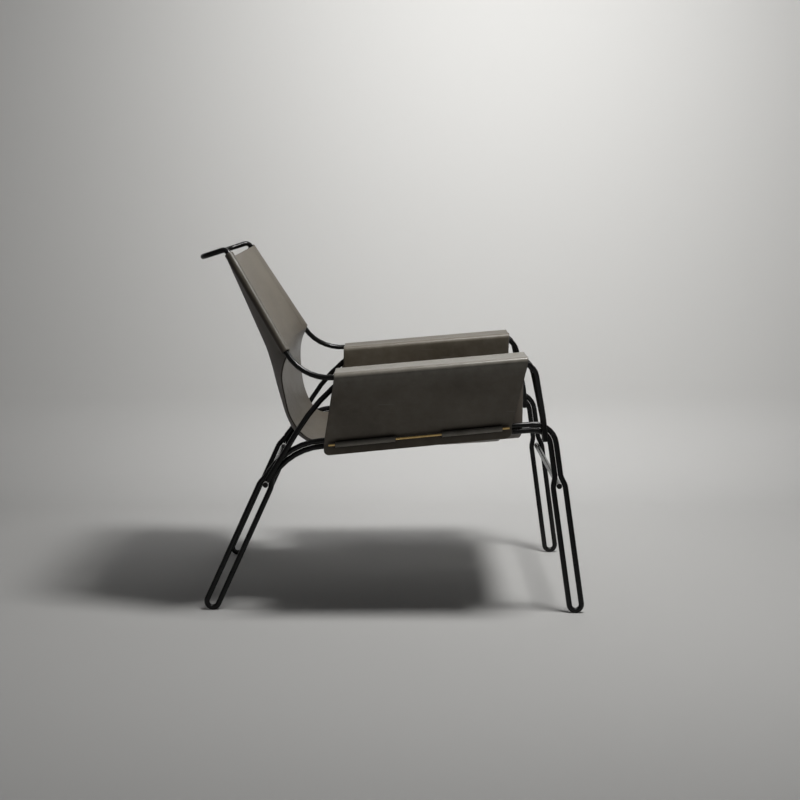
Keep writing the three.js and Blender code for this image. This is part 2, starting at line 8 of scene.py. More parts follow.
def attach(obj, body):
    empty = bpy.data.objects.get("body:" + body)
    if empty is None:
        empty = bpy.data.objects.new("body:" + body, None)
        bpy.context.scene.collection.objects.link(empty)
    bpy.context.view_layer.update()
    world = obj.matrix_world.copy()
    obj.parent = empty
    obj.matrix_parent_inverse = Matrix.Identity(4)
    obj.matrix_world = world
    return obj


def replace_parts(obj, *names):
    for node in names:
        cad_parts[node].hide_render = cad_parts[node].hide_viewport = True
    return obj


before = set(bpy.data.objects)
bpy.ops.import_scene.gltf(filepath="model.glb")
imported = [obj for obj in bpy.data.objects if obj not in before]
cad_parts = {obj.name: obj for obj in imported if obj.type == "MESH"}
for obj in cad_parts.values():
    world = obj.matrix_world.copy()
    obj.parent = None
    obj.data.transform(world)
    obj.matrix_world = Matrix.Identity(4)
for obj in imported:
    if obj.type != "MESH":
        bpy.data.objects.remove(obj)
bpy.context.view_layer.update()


# The camera: a long lens nearly four metres away, looking at the chair's right side. It stands a
# little higher than the chair's back and tips down to it.

def place_camera():
    tip_down = 6.776
    lens_data = bpy.data.cameras.new("camera")
    lens_data.lens = 76.5
    lens_data.sensor_width = 36
    lens_data.clip_start = 0.05
    eye = bpy.data.objects.new("camera", lens_data)
    eye.location = (0.0173, -3.9, 0.887)
    eye.rotation_euler = (math.radians(90 - tip_down), 0, 0)
    bpy.context.collection.objects.link(eye)
    bpy.context.scene.camera = eye
    bpy.context.scene.view_settings.view_transform = "Standard"


place_camera()


# The studio: a plain pale floor that curves up into a backdrop, clear when seen from behind. One small
# lamp above the near side throws the shadow, a faint one fills from the front, and one washes the wall.

def new_material(name):
    material = bpy.data.materials.new(name)
    material.use_nodes = True
    tree = material.node_tree
    shader = next(node for node in tree.nodes if node.type == "BSDF_PRINCIPLED")
    return material, tree, shader


def mesh_piece(name, points, faces, material=None):
    mesh = bpy.data.meshes.new(name)
    mesh.from_pydata([tuple(map(float, p)) for p in points], [], faces)
    mesh.update()
    piece = bpy.data.objects.new(name, mesh)
    bpy.context.collection.objects.link(piece)
    if material:
        mesh.materials.append(material)
    return piece


def sweep_material():
    """Matt paint, paler up the wall, and clear from behind so that the wall hides nothing."""
    material, tree, shader = new_material("studio sweep")
    where = tree.nodes.new("ShaderNodeTexCoord").outputs["Object"]
    height = tree.nodes.new("ShaderNodeSeparateXYZ")
    tree.links.new(where, height.inputs[0])
    tone = tree.nodes.new("ShaderNodeMapRange")
    tone.data_type = "FLOAT_VECTOR"
    # Its vector sockets are inputs 6 to 10: the value, where it starts and ends, and both tones
    tree.links.new(height.outputs["Z"], tone.inputs[6])
    floor_tone, wall_tone = (0.405, 0.402, 0.396), (0.62, 0.616, 0.605)
    for socket, value in zip(tone.inputs[7:11], ((0, 0, 0), (0.3, 0.3, 0.3), floor_tone, wall_tone)):
        socket.default_value = value
    tree.links.new(tone.outputs[1], shader.inputs["Base Color"])
    shader.inputs["Roughness"].default_value = 0.9
    clear = tree.nodes.new("ShaderNodeBsdfTransparent")
    sides = tree.nodes.new("ShaderNodeMixShader")
    tree.links.new(tree.nodes.new("ShaderNodeNewGeometry").outputs["Backfacing"], sides.inputs[0])
    tree.links.new(shader.outputs[0], sides.inputs[1])
    tree.links.new(clear.outputs[0], sides.inputs[2])
    tree.links.new(sides.outputs[0], tree.nodes["Material Output"].inputs["Surface"])
    return material


def build_sweep():
    wide, front, back, tall, curve, steps = 8, -7, 1.25, 4.5, 0.3, 12
    line = [(front, 0), (back - curve, 0)]
    for step in range(1, steps):
        angle = math.pi / 2 * step / steps
        line.append((back - curve + curve * math.sin(angle), curve - curve * math.cos(angle)))
    line += [(back, curve), (back, tall)]
    points = [(x, y, z) for y, z in line for x in (-wide, wide)]
    faces = [(2 * i, 2 * i + 1, 2 * i + 3, 2 * i + 2) for i in range(len(line) - 1)]
    sweep = mesh_piece("sweep", points, faces, sweep_material())
    sweep.data.polygons.foreach_set("use_smooth", [True] * len(faces))


def place_lamps():
    """Each lamp's name, place, target, size in metres, beam in degrees, watts and colour."""
    lamps = [
        ("overhead", (0.52, -0.5, 2.36), (0, 0, 0.3), 0.5, 180, 51, (1, 0.995, 0.98)),
        ("front_fill", (1.7, -3.4, 1.5), (0, 0, 0.4), 1.2, 180, 2.5, (1, 0.99, 0.97)),
        ("wall_wash", (0.3, 0.3, 3.0), (0.3, 1.25, 1.0), 1.8, 62, 8.5, (1, 1, 1)),
    ]
    for name, at, target, size, beam, power, colour in lamps:
        data = bpy.data.lights.new(name, "AREA")
        data.shape = "DISK"
        data.size = size
        data.spread = math.radians(beam)
        data.energy = power
        data.color = colour
        lamp = bpy.data.objects.new(name, data)
        lamp.location = at
        lamp.rotation_euler = (Vector(target) - Vector(at)).to_track_quat("-Z", "Y").to_euler()
        bpy.context.collection.objects.link(lamp)


def light_world():
    """A grey seen behind everything and dimly mirrored, with a much weaker light from all round."""
    world = bpy.data.worlds.new("studio")
    bpy.context.scene.world = world
    world.use_nodes = True
    nodes, links = world.node_tree.nodes, world.node_tree.links
    nodes.clear()
    out = nodes.new("ShaderNodeOutputWorld")
    seen = nodes.new("ShaderNodeBackground")
    seen.inputs["Color"].default_value = (0.38, 0.38, 0.375, 1)
    lit = nodes.new("ShaderNodeBackground")
    lit.inputs["Color"].default_value = (0.9, 0.93, 1, 1)
    lit.inputs["Strength"].default_value = 0.03
    mixer = nodes.new("ShaderNodeMixShader")
    rays = nodes.new("ShaderNodeLightPath")
    either = nodes.new("ShaderNodeMath")
    either.operation = "MAXIMUM"
    dimmed = nodes.new("ShaderNodeMath")
    dimmed.operation = "MULTIPLY"
    dimmed.inputs[1].default_value = 0.3
    links.new(rays.outputs["Is Glossy Ray"], dimmed.inputs[0])
    links.new(rays.outputs["Is Camera Ray"], either.inputs[0])
    links.new(dimmed.outputs[0], either.inputs[1])
    links.new(either.outputs[0], mixer.inputs[0])
    links.new(lit.outputs[0], mixer.inputs[1])
    links.new(seen.outputs[0], mixer.inputs[2])
    links.new(mixer.outputs[0], out.inputs["Surface"])


build_sweep()
place_lamps()
light_world()


# The steel: 12 mm round rod, bent, welded and powder coated satin black. The coat has a fine
# orange-peel texture, and its tone and gloss vary a little over it.

def noise_node(tree, scale, detail, vector, roughness=0.5):
    node = tree.nodes.new("ShaderNodeTexNoise")
    node.inputs["Scale"].default_value = scale
    node.inputs["Detail"].default_value = detail
    node.inputs["Roughness"].default_value = roughness
    tree.links.new(vector, node.inputs["Vector"])
    return node.outputs["Fac"]


def remap(tree, value, low, high, new_low, new_high):
    node = tree.nodes.new("ShaderNodeMapRange")
    for name, number in zip(("From Min", "From Max", "To Min", "To Max"), (low, high, new_low, new_high)):
        node.inputs[name].default_value = number
    tree.links.new(value, node.inputs["Value"])
    return node.outputs["Result"]


def blend_colours(tree, factor, first, second):
    node = tree.nodes.new("ShaderNodeMix")
    node.data_type = "RGBA"
    tree.links.new(factor, node.inputs[0])
    for socket, colour in ((node.inputs[6], first), (node.inputs[7], second)):
        if isinstance(colour, tuple):
            socket.default_value = colour
        else:
            tree.links.new(colour, socket)
    return node.outputs[2]


def bump(tree, shader, height, distance, strength=1.0):
    node = tree.nodes.new("ShaderNodeBump")
    node.inputs["Distance"].default_value = distance
    node.inputs["Strength"].default_value = strength
    tree.links.new(height, node.inputs["Height"])
    tree.links.new(node.outputs["Normal"], shader.inputs["Normal"])


def steel_material():
    material, tree, shader = new_material("black powder coat")
    where = tree.nodes.new("ShaderNodeTexCoord").outputs["Object"]
    mottle = noise_node(tree, 14, 4, where)
    peel = noise_node(tree, 900, 2, where)
    tone = blend_colours(tree, mottle, (0.003, 0.003, 0.003, 1), (0.006, 0.0058, 0.0055, 1))
    tree.links.new(tone, shader.inputs["Base Color"])
    tree.links.new(remap(tree, mottle, 0.3, 0.7, 0.2, 0.3), shader.inputs["Roughness"])
    shader.inputs["Specular IOR Level"].default_value = 0.28
    bump(tree, shader, peel, 0.00006, 0.6)
    return material


def smooth_by_angle():
    """Welds a rod's or a pin's faces together and shades all but its sharp edges smooth."""
    sharp = math.radians(48)
    group = bpy.data.node_groups.new("round shading", "GeometryNodeTree")
    group.interface.new_socket("Geometry", in_out="INPUT", socket_type="NodeSocketGeometry")
    group.interface.new_socket("Geometry", in_out="OUTPUT", socket_type="NodeSocketGeometry")
    nodes, links = group.nodes, group.links
    start = nodes.new("NodeGroupInput")
    end = nodes.new("NodeGroupOutput")
    weld = nodes.new("GeometryNodeMergeByDistance")
    weld.inputs["Distance"].default_value = 0.00001
    faces = nodes.new("GeometryNodeSetShadeSmooth")
    edges = nodes.new("GeometryNodeSetShadeSmooth")
    edges.domain = "EDGE"
    angle = nodes.new("GeometryNodeInputMeshEdgeAngle")
    gentle = nodes.new("FunctionNodeCompare")
    gentle.operation = "LESS_THAN"
    gentle.inputs[1].default_value = sharp
    links.new(start.outputs[0], weld.inputs["Geometry"])
    links.new(weld.outputs[0], faces.inputs["Geometry"])
    links.new(faces.outputs[0], edges.inputs["Geometry"])
    links.new(angle.outputs["Unsigned Angle"], gentle.inputs[0])
    links.new(gentle.outputs[0], edges.inputs["Shade Smooth"])
    links.new(edges.outputs[0], end.inputs[0])
    return group


round_shading = smooth_by_angle()


def dress(node_name, material):
    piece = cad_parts[node_name]
    mesh = piece.data
    if "custom_normal" in mesh.attributes:
        mesh.attributes.remove(mesh.attributes["custom_normal"])
    mesh.materials.clear()
    mesh.materials.append(material)
    piece.modifiers.new("round shading", "NODES").node_group = round_shading


def dress_steel():
    material = steel_material()
    for name in (
        "side_frame_right", "side_frame_left", "back_arm_rod", "arm_support_right",
        "arm_support_left", "front_cross_bar", "rear_cross_bar",
    ):
        dress(name, material)


dress_steel()


# The lock pins: 5 mm drawn brass rod, lightly tarnished, with fine drawing lines along them. Only
# the straps' loops hold them, and each draws out rearwards.

def dress_pins():
    material, tree, shader = new_material("drawn brass")
    where = tree.nodes.new("ShaderNodeTexCoord").outputs["Object"]
    stretch = tree.nodes.new("ShaderNodeMapping")
    stretch.inputs["Scale"].default_value = (0.02, 1, 1)
    tree.links.new(where, stretch.inputs["Vector"])
    lines = noise_node(tree, 1600, 2, stretch.outputs["Vector"])
    tarnish = noise_node(tree, 60, 5, where)
    dull = remap(tree, tarnish, 0.35, 0.7, 0, 1)
    tone = blend_colours(tree, dull, (0.98, 0.7, 0.3, 1), (0.72, 0.48, 0.19, 1))
    tree.links.new(tone, shader.inputs["Base Color"])
    shader.inputs["Metallic"].default_value = 1
    tree.links.new(remap(tree, tarnish, 0.3, 0.7, 0.24, 0.42), shader.inputs["Roughness"])
    bump(tree, shader, lines, 0.00004, 0.5)
    for name in ("lock_pin_right", "lock_pin_left"):
        dress(name, material)


dress_pins()


# The arm leathers: thick saddle leather folded over both arm rods. The inner flap runs down to the
# seat, and the outer flap past the rails, where each strap comes through a slit under its loop.
# The hide is waxed and dyed right through. It lightens where it bends, with a painted highlight added on
# the near arm, and its cut edges are dark.

def leather_group():
    """Leather's colour, roughness and grain. Each sheet carries four attributes: fold, how pale it is
    from bending and from painted highlight, soil, how much darker it is and where shade is painted,
    flesh on its raw side, and cut on its edges.
    """
    group = bpy.data.node_groups.new("saddle leather", "ShaderNodeTree")
    for name in ("Tone", "Dark Tone", "Pale And Highlight Tone", "Darkening And Shade Tone", "Edge Tone", "Flesh Tone"):
        group.interface.new_socket(name, in_out="INPUT", socket_type="NodeSocketColor")
    group.interface.new_socket("Colour", in_out="OUTPUT", socket_type="NodeSocketColor")
    group.interface.new_socket("Roughness", in_out="OUTPUT", socket_type="NodeSocketFloat")
    group.interface.new_socket("Height", in_out="OUTPUT", socket_type="NodeSocketFloat")
    nodes, links = group.nodes, group.links
    given = nodes.new("NodeGroupInput").outputs
    where = nodes.new("ShaderNodeTexCoord").outputs["Object"]

    def attribute(name):
        node = nodes.new("ShaderNodeAttribute")
        node.attribute_name = name
        return node.outputs["Fac"]

    def maths(operation, first, second):
        node = nodes.new("ShaderNodeMath")
        node.operation = operation
        for socket, value in zip(node.inputs, (first, second)):
            if isinstance(value, (int, float)):
                socket.default_value = value
            else:
                links.new(value, socket)
        return node.outputs[0]

    cloud = noise_node(group, 6.5, 5, where, 0.6)
    patch = noise_node(group, 38, 6, where, 0.65)
    speck = noise_node(group, 520, 3, where, 0.7)
    pores = nodes.new("ShaderNodeTexVoronoi")
    pores.feature = "DISTANCE_TO_EDGE"
    pores.inputs["Scale"].default_value = 620
    links.new(where, pores.inputs["Vector"])
    long_ways = nodes.new("ShaderNodeMapping")
    long_ways.inputs["Rotation"].default_value = (0.3, 0.5, 0.2)
    long_ways.inputs["Scale"].default_value = (0.06, 1, 1)
    links.new(where, long_ways.inputs["Vector"])
    scratch = noise_node(group, 240, 2, long_ways.outputs["Vector"], 0.4)
    scratched = remap(group, scratch, 0.68, 0.76, 0, 1)

    shade = maths("ADD", maths("MULTIPLY", cloud, 0.6), maths("MULTIPLY", patch, 0.4))
    tone = blend_colours(group, remap(group, shade, 0.36, 0.64, 0, 1), given["Dark Tone"], given["Tone"])
    # Paler where the sheet bends and where a highlight is painted, and along scratches
    pale_and_highlight_mask = maths("MULTIPLY", attribute("fold"), remap(group, patch, 0.3, 0.7, 0.45, 1))
    marked = maths("MULTIPLY", scratched, 0.22)
    tone = blend_colours(group, maths("MAXIMUM", pale_and_highlight_mask, marked), tone, given["Pale And Highlight Tone"])
    # Painted shade: darker in crevices and along contact lines, from an occlusion mask, then the sheet's
    # attribute for darker places and painted shade on top
    crevice_shade = nodes.new("ShaderNodeAmbientOcclusion")
    crevice_shade.samples = 6
    crevice_shade.inputs["Distance"].default_value = 0.011
    darkening_and_shade_mask = remap(group, crevice_shade.outputs["AO"], 0.45, 0.95, 0.9, 0)
    darkening_and_shade_mask = maths("MAXIMUM", darkening_and_shade_mask, attribute("darkening_and_shade"))
    tone = blend_colours(group, darkening_and_shade_mask, tone, given["Darkening And Shade Tone"])
    tone = blend_colours(group, attribute("flesh"), tone, given["Flesh Tone"])
    tone = blend_colours(group, attribute("cut"), tone, given["Edge Tone"])
    finish = maths("MULTIPLY", attribute("flesh"), 0.3)
    finish = maths("ADD", remap(group, patch, 0.3, 0.7, 0.4, 0.5), finish)
    finish = maths("SUBTRACT", finish, maths("MULTIPLY", pale_and_highlight_mask, 0.2))
    pebble = remap(group, pores.outputs["Distance"], 0, 0.16, 0, 0.45)
    grain = maths("ADD", maths("MULTIPLY", speck, 0.55), pebble)
    grain = maths("SUBTRACT", grain, maths("MULTIPLY", scratched, 0.25))
    end = nodes.new("NodeGroupOutput").inputs
    links.new(tone, end["Colour"])
    links.new(finish, end["Roughness"])
    links.new(grain, end["Height"])
    return group


def leather_material():
    material, tree, shader = new_material("waxed saddle leather")
    look = tree.nodes.new("ShaderNodeGroup")
    look.node_tree = leather_group()
    for name, colour in (
        ("Tone", (0.117, 0.101, 0.077)),
        ("Dark Tone", (0.067, 0.054, 0.037)),
        ("Pale And Highlight Tone", (0.205, 0.193, 0.168)),
        ("Darkening And Shade Tone", (0.03, 0.025, 0.019)),
        ("Edge Tone", (0.035, 0.028, 0.022)),
        ("Flesh Tone", (0.1, 0.083, 0.066)),
    ):
        look.inputs[name].default_value = (*colour, 1)
    tree.links.new(look.outputs["Colour"], shader.inputs["Base Color"])
    tree.links.new(look.outputs["Roughness"], shader.inputs["Roughness"])
    shader.inputs["Sheen Weight"].default_value = 0.16
    shader.inputs["Specular IOR Level"].default_value = 0.42
    shader.inputs["Sheen Roughness"].default_value = 0.4
    bump(tree, shader, look.outputs["Height"], 0.00012, 0.55)
    return material


leather = leather_material()
THICK = 3.2
SHIFT = 17.321


def in_metres(points):
    """Places in the frame, from millimetres with X measured from SHIFT in front of its middle."""
    return [((x + SHIFT) / 1000, y / 1000, z / 1000) for x, y, z in points]


def put(name, points, faces, flags):
    piece = mesh_piece(name, in_metres(points), faces, leather)
    for flag, values in flags.items():
        data = piece.data.attributes.new(flag, "FLOAT", "POINT").data
        data.foreach_set("value", np.asarray(values, dtype=np.float32))
    piece.data.polygons.foreach_set("use_smooth", [True] * len(piece.data.polygons))
    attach(piece, "chair")
    return piece


def unit(vectors):
    return vectors / np.maximum(np.linalg.norm(vectors, axis=-1, keepdims=True), 1e-9)


def cut_from(middle):
    """Turns a leather's middle points into an array and does nothing more with them."""
    middle = np.array(middle, dtype=float)


def rim_of(rows, columns):
    """The row and column of each spot round the edge of a grid, in order."""
    rim = [(0, c) for c in range(columns)] + [(r, columns - 1) for r in range(1, rows)]
    rim += [(rows - 1, c) for c in range(columns - 2, -1, -1)]
    return rim + [(r, 0) for r in range(rows - 2, 0, -1)]


def bend_of(middle, normal):
    """How sharply a sheet bends at each spot, along its rows or down them, in radians per mm."""
    least_step = 0.05
    bends = []
    for axis in (0, 1):
        turn = np.linalg.norm(np.gradient(normal, axis=axis), axis=-1)
        step = np.linalg.norm(np.gradient(middle, axis=axis), axis=-1)
        bends.append(turn / np.maximum(step, least_step))
    return np.maximum(*bends)


def leather_sheet(
    name, middle, grain_side=1, mirror=False, joined=None, holes=(),
    pale_and_highlight=None, darkening_and_shade=None, painted_under_shade=0.0,
):
    """A sheet of leather round a grid of middle points, with rolled cut edges.

    joined(row, column) is true where an edge runs on into another sheet, holes are slits given
    as first row, last row, first column and last column. worn is how pale the grain is at each
    point, from bending and from painted highlight, by how sharply the sheet bends if left out. soil
    is how much darker it is, partly painted shade, with painted_under_shade, which is painted shade,
    added on the flesh side.
    """
    middle = np.array(middle, dtype=float)
    rows, columns = middle.shape[:2]
    normal = unit(np.cross(np.gradient(middle, axis=0), np.gradient(middle, axis=1))) * grain_side
    slight_bend, bend_span = 0.02, 0.1
    if pale_and_highlight is None:
        pale_and_highlight = np.clip((bend_of(middle, normal) - slight_bend) / bend_span, 0, 1)
    if darkening_and_shade is None:
        darkening_and_shade = np.zeros((rows, columns))
    rim = rim_of(rows, columns)
    free = np.array([0.0 if joined and joined(r, c) else 1.0 for r, c in rim])
    half = np.full((rows, columns, 1), THICK / 2)
    edge_thinning, edge_bulge = THICK * 0.1, THICK * 0.14
    edge = []
    for (r, c), bare in zip(rim, free):
        half[r, c] -= edge_thinning * bare
        inside = middle[min(max(r, 1), rows - 2), min(max(c, 1), columns - 2)]
        edge.append(middle[r, c] + unit(middle[r, c] - inside) * edge_bulge * bare)
    grain = (middle + normal * half).reshape(-1, 3)
    flesh = (middle - normal * half).reshape(-1, 3)
    points = np.concatenate([grain, flesh, np.array(edge)])
    count = rows * columns
    spots = [r * columns + c for r, c in rim]
    cut = np.zeros(len(points))
    for start in (0, count):
        cut[[start + spot for spot in spots]] = 0.75 * free
    cut[2 * count:] = free
    faces = []
    for r in range(rows - 1):
        for c in range(columns - 1):
            if any(top <= r < low and first <= c < last for top, low, first, last in holes):
                continue
            a = r * columns + c
            faces.append((a, a + columns, a + columns + 1, a + 1))
            faces.append((count + a, count + a + 1, count + a + columns + 1, count + a + columns))
    for index, spot in enumerate(spots):
        after = (index + 1) % len(spots)
        faces.append((spot, spots[after], 2 * count + after, 2 * count + index))
        faces.append((2 * count + index, 2 * count + after, count + spots[after], count + spot))
    for top, low, first, last in holes:
        ring = [(top, c) for c in range(first, last)] + [(r, last) for r in range(top, low)]
        ring += [(low, c) for c in range(last, first, -1)] + [(r, first) for r in range(low, top, -1)]
        spots = [r * columns + c for r, c in ring]
        cut[spots + [count + spot for spot in spots]] = 1
        for spot, after in zip(spots, spots[1:] + spots[:1]):
            faces.append((spot, count + spot, count + after, after))
    # Paler where the sheet bends and where a highlight is painted, less on the flesh side
    pale_and_highlight_values = np.concatenate([pale_and_highlight.ravel(), pale_and_highlight.ravel() * 0.4, np.zeros(len(rim))])
    raw = np.concatenate([np.zeros(count), np.ones(count), np.full(len(rim), 0.5)])
    if grain_side < 0:
        faces = [face[::-1] for face in faces]
    if mirror:
        points[:, 1] *= -1
        faces = [face[::-1] for face in faces]
    # The flesh side takes the extra painted shade
    under = np.clip(darkening_and_shade + painted_under_shade, 0, 1)
    darkening_and_shade_values = np.concatenate([darkening_and_shade.ravel(), under.ravel(), np.zeros(len(rim))])
    return put(name, points, faces, {"cut": cut, "fold": pale_and_highlight_values, "flesh": raw, "darkening_and_shade": darkening_and_shade_values})


RAIL_HEIGHT = 377.5
ARM_REAR_X = -204
ARM_REAR_HEIGHT = 508.8
ARM_OUTER = 366.5


def rail_height(x):
    slope = 0.0794
    return RAIL_HEIGHT + x * slope


def frame_half_width(x, z):
    """Half the width between the side frames, which widen forwards and splay below the rail."""
    rear_half_width, widening, splay = 287, 11, 18
    rear_x, length = -289.3, 630.5
    forward = max(0.0, (x - rear_x) / length)
    return rear_half_width + forward * (widening + splay * (RAIL_HEIGHT - z) / RAIL_HEIGHT)


def arm_height(x):
    slope = 0.08545
    return ARM_REAR_HEIGHT + (x - ARM_REAR_X) * slope


def flat(y, z):
    return np.array((y, z), dtype=float)


def turned(vector, angle):
    c, s = math.cos(angle), math.sin(angle)
    return flat(vector[0] * c - vector[1] * s, vector[0] * s + vector[1] * c)


def crossing(start, way, other, other_way):
    """Where a line from one place crosses a line through another."""
    across = way[0] * other_way[1] - way[1] * other_way[0]
    gap = other - start
    return start + way * ((gap[0] * other_way[1] - gap[1] * other_way[0]) / across)


# How far from a rod's or pin's middle a leather lies, then where the pin starts at the rear and its
# way forwards in x, y and z, and the same of the arm's inner rod in x and y
ROUND = 7.9
PIN_REAR = np.array((-152.5, 313.5, 363.3))
PIN_RUN = np.array((385.2, 5.9, 38.5))
ARM_INNER_REAR = (-104.2, 266)
ARM_INNER_RUN = (383.7, -8)


def arm_section(x):
    """The lines a cross-section of the arm leather follows, in y and z at one x."""
    seam_setback = 4
    pin = PIN_REAR[1:] + PIN_RUN[1:] * ((x - PIN_REAR[0]) / PIN_RUN[0])
    inner_share = (x - ARM_INNER_REAR[0]) / ARM_INNER_RUN[0]
    inner_rod = flat(ARM_INNER_REAR[1] + ARM_INNER_RUN[1] * inner_share, arm_height(x))
    outer_rod = flat(ARM_OUTER, arm_height(x))
    seam = flat(frame_half_width(x, rail_height(x)) - ROUND - seam_setback, rail_height(x))
    to_rod = inner_rod - seam
    inner_way = unit(turned(to_rod, math.asin(ROUND / np.linalg.norm(to_rod))))
    to_arm = outer_rod - pin
    down = -unit(turned(to_arm, -math.asin(2 * ROUND / np.linalg.norm(to_arm))))
    inward = -flat(-down[1], down[0])
    return pin, seam, inner_way, down, inward, pin + inward * ROUND


def rounded_route(corners):
    """Points along straight runs and arcs. A corner is (place, radius, steps along the bend)."""
    points = []
    for index, (at, radius, steps) in enumerate(corners):
        if radius == 0 or index in (0, len(corners) - 1):
            points.append(np.array(at, dtype=float))
            continue
        back = unit(np.array(corners[index - 1][0], dtype=float) - at)
        on = unit(np.array(corners[index + 1][0], dtype=float) - at)
        bend = math.pi - math.acos(max(-1, min(1, float(back @ on))))
        centre = at + unit(back + on) * radius / math.cos(bend / 2)
        spoke = at + back * radius * math.tan(bend / 2) - centre
        for step in range(steps + 1):
            angle = bend * step / steps
            points.append(centre + spoke * math.cos(angle) - back * radius * math.sin(angle))
    return points


def spread(start, end, count):
    """count even places from start up to, not with, end."""
    return [start + (end - start) * share for share in np.linspace(0, 1, count + 1)[:-1]]


# The flap's margin below the pin, the straps, the spots along each stretch of the leather's section,
# and where its top and its flap start and end
FLAP_MARGIN = 22.5
STRAP_STARTS = {"front_strap": 89, "rear_strap": -138.2}
STRAP_WIDTH = 128.5
INNER_SPOTS = 16
BEND_STEPS = 10
TOP_SPOTS = 20
LINE_SPOTS = INNER_SPOTS + 2 * BEND_STEPS + TOP_SPOTS
FLAP_SPOTS = 30
SEAT_REAR_X, SEAT_FRONT_X = -138, 262
TOP_FRONT_X = 267
FLAP_REAR_X = -162.5
FLAP_LENGTH = 400.5


def arm_line(x):
    """The arm leather's cross-section down to the pin, the places that end it, and the pin."""
    pin, seam, inner_way, down, _, fold = arm_section(x)
    top = flat(0, arm_height(x) + ROUND)
    level = flat(1, 0)
    hanging = pin - level * ROUND
    top_sag = 1.6
    route = rounded_route([
        (seam, 0, 0),
        (crossing(seam, inner_way, top, level), ROUND, BEND_STEPS),
        (crossing(fold, down, top, level), ROUND, BEND_STEPS),
        (crossing(fold, down, hanging, flat(0, 1)), ROUND, 4),
        (hanging - flat(0, FLAP_MARGIN), 0, 0),
    ])
    first = route[1:BEND_STEPS + 2]
    second = route[BEND_STEPS + 2:2 * BEND_STEPS + 3]
    low = route[2 * BEND_STEPS + 3:-1]
    line = spread(route[0], first[0], INNER_SPOTS) + first[:-1]
    for step, place in enumerate(spread(first[-1], second[0], TOP_SPOTS)):
        line.append(place - flat(0, top_sag * math.sin(math.pi * step / TOP_SPOTS)))
    return line + second[:-1], second[-1], low, pin


def flap_place(drop, share):
    """A place on the outer flap, from the arm's edge down to its low bend, swelling a little."""
    top_length = TOP_FRONT_X - SEAT_REAR_X
    rear = SEAT_REAR_X + (FLAP_REAR_X - SEAT_REAR_X) * drop
    x = rear + (top_length + (FLAP_LENGTH - top_length) * drop) * share
    _, start, low, _ = arm_line(x)
    way = unit(low[0] - start)
    most, wave_length = 1.3, 150
    uneven = 0.4 + noise.noise((x / wave_length, drop * 2, 3.1))
    swell = most * math.sin(math.pi * drop) * uneven
    return (x, *(start + (low[0] - start) * drop + flat(-way[1], way[0]) * swell))


def flap_end_place(rise, share):
    """A place on the flap's lower end, rise above the pin, where its corners are rounded off."""
    corner = 12.0
    corner_left = max(0.0, corner - FLAP_MARGIN - rise)
    inset = corner - math.sqrt(max(0.0, corner ** 2 - corner_left ** 2))
    x = FLAP_REAR_X + inset + (FLAP_LENGTH - 2 * inset) * share
    pin = arm_line(x)[3]
    way = -math.sqrt(ROUND ** 2 - rise ** 2) if rise > 0 else -ROUND
    return (x, pin[0] + way, pin[1] + rise)


def arm_row(share):
    """The arm leather from its seam with the seat over the arm and down to the flap's end."""
    rises = [1.0, -6.3, -8.0, -10.5, -12, -13.5, -15, -16.5, -18, -19.5, -20.8, -21.8, -22.3, -22.5]
    row = []
    for index in range(LINE_SPOTS):
        front = SEAT_FRONT_X + (TOP_FRONT_X - SEAT_FRONT_X) * min(1.0, index / INNER_SPOTS)
        x = SEAT_REAR_X + (front - SEAT_REAR_X) * share
        row.append((x, *arm_line(x)[0][index]))
    row += [flap_place(step / FLAP_SPOTS, share) for step in range(FLAP_SPOTS)]
    x = FLAP_REAR_X + FLAP_LENGTH * share
    row += [(x, *at) for at in arm_line(x)[2][:-2]]
    return row + [flap_end_place(rise, share) for rise in rises]


def arm_pale_and_highlight(side, columns):
    """How pale each column is: both fold lines a little from bending, and on the near arm its fold lines
    and top more, as a painted highlight.
    """
    painted_top_highlight = 0.75 if side == "right" else 0.0
    fold_pale_and_highlight = 0.3 + 0.8 * painted_top_highlight
    stations = [0, 14, 19, 24, 28, 44, 48, 54, 58, 64, columns]
    station_pale_and_highlight = [0, 0, fold_pale_and_highlight, fold_pale_and_highlight, painted_top_highlight, painted_top_highlight, fold_pale_and_highlight, fold_pale_and_highlight, 0.3, 0, 0]
    return np.interp(range(columns), stations, station_pale_and_highlight)


def arm_leather(side):
    ease = 0.3
    strap_edges = [start + way for start in STRAP_STARTS.values() for way in (-ease, STRAP_WIDTH + ease)]
    slit_rows = [(x - FLAP_REAR_X) / FLAP_LENGTH for x in strap_edges]
    rows = np.concatenate([[0, 0.003, 0.01], np.linspace(0.03, 0.97, 54), [0.99, 0.997, 1]])
    rows = np.sort(np.concatenate([rows, slit_rows]))
    middle = np.array([arm_row(share) for share in rows])
    slit = LINE_SPOTS + FLAP_SPOTS + 3
    ends = [int(np.argmin(np.abs(rows - share))) for share in slit_rows]
    holes = [(first, last, slit, slit + 1) for first, last in (ends[:2], ends[2:])]
    pale_and_highlight = np.tile(arm_pale_and_highlight(side, middle.shape[1]), (len(rows), 1))
    # Painted shade over the whole flesh side, the inside of the wrap
    piece = leather_sheet(
        f"arm_leather_{side}", middle, mirror=side == "right", holes=holes, pale_and_highlight=pale_and_highlight, painted_under_shade=0.7,
    )
    cut_from(middle)
    return piece


def arm_leathers():
    for side in ("right", "left"):
        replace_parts(arm_leather(side), f"arm_wrap_{side}")


arm_leathers()


# The sling: one hide for back and seat. It hangs from the two uprights, narrows at the sitter's
# waist, where its edges are free, and is sewn to the arm leathers' inner flaps along the seat.

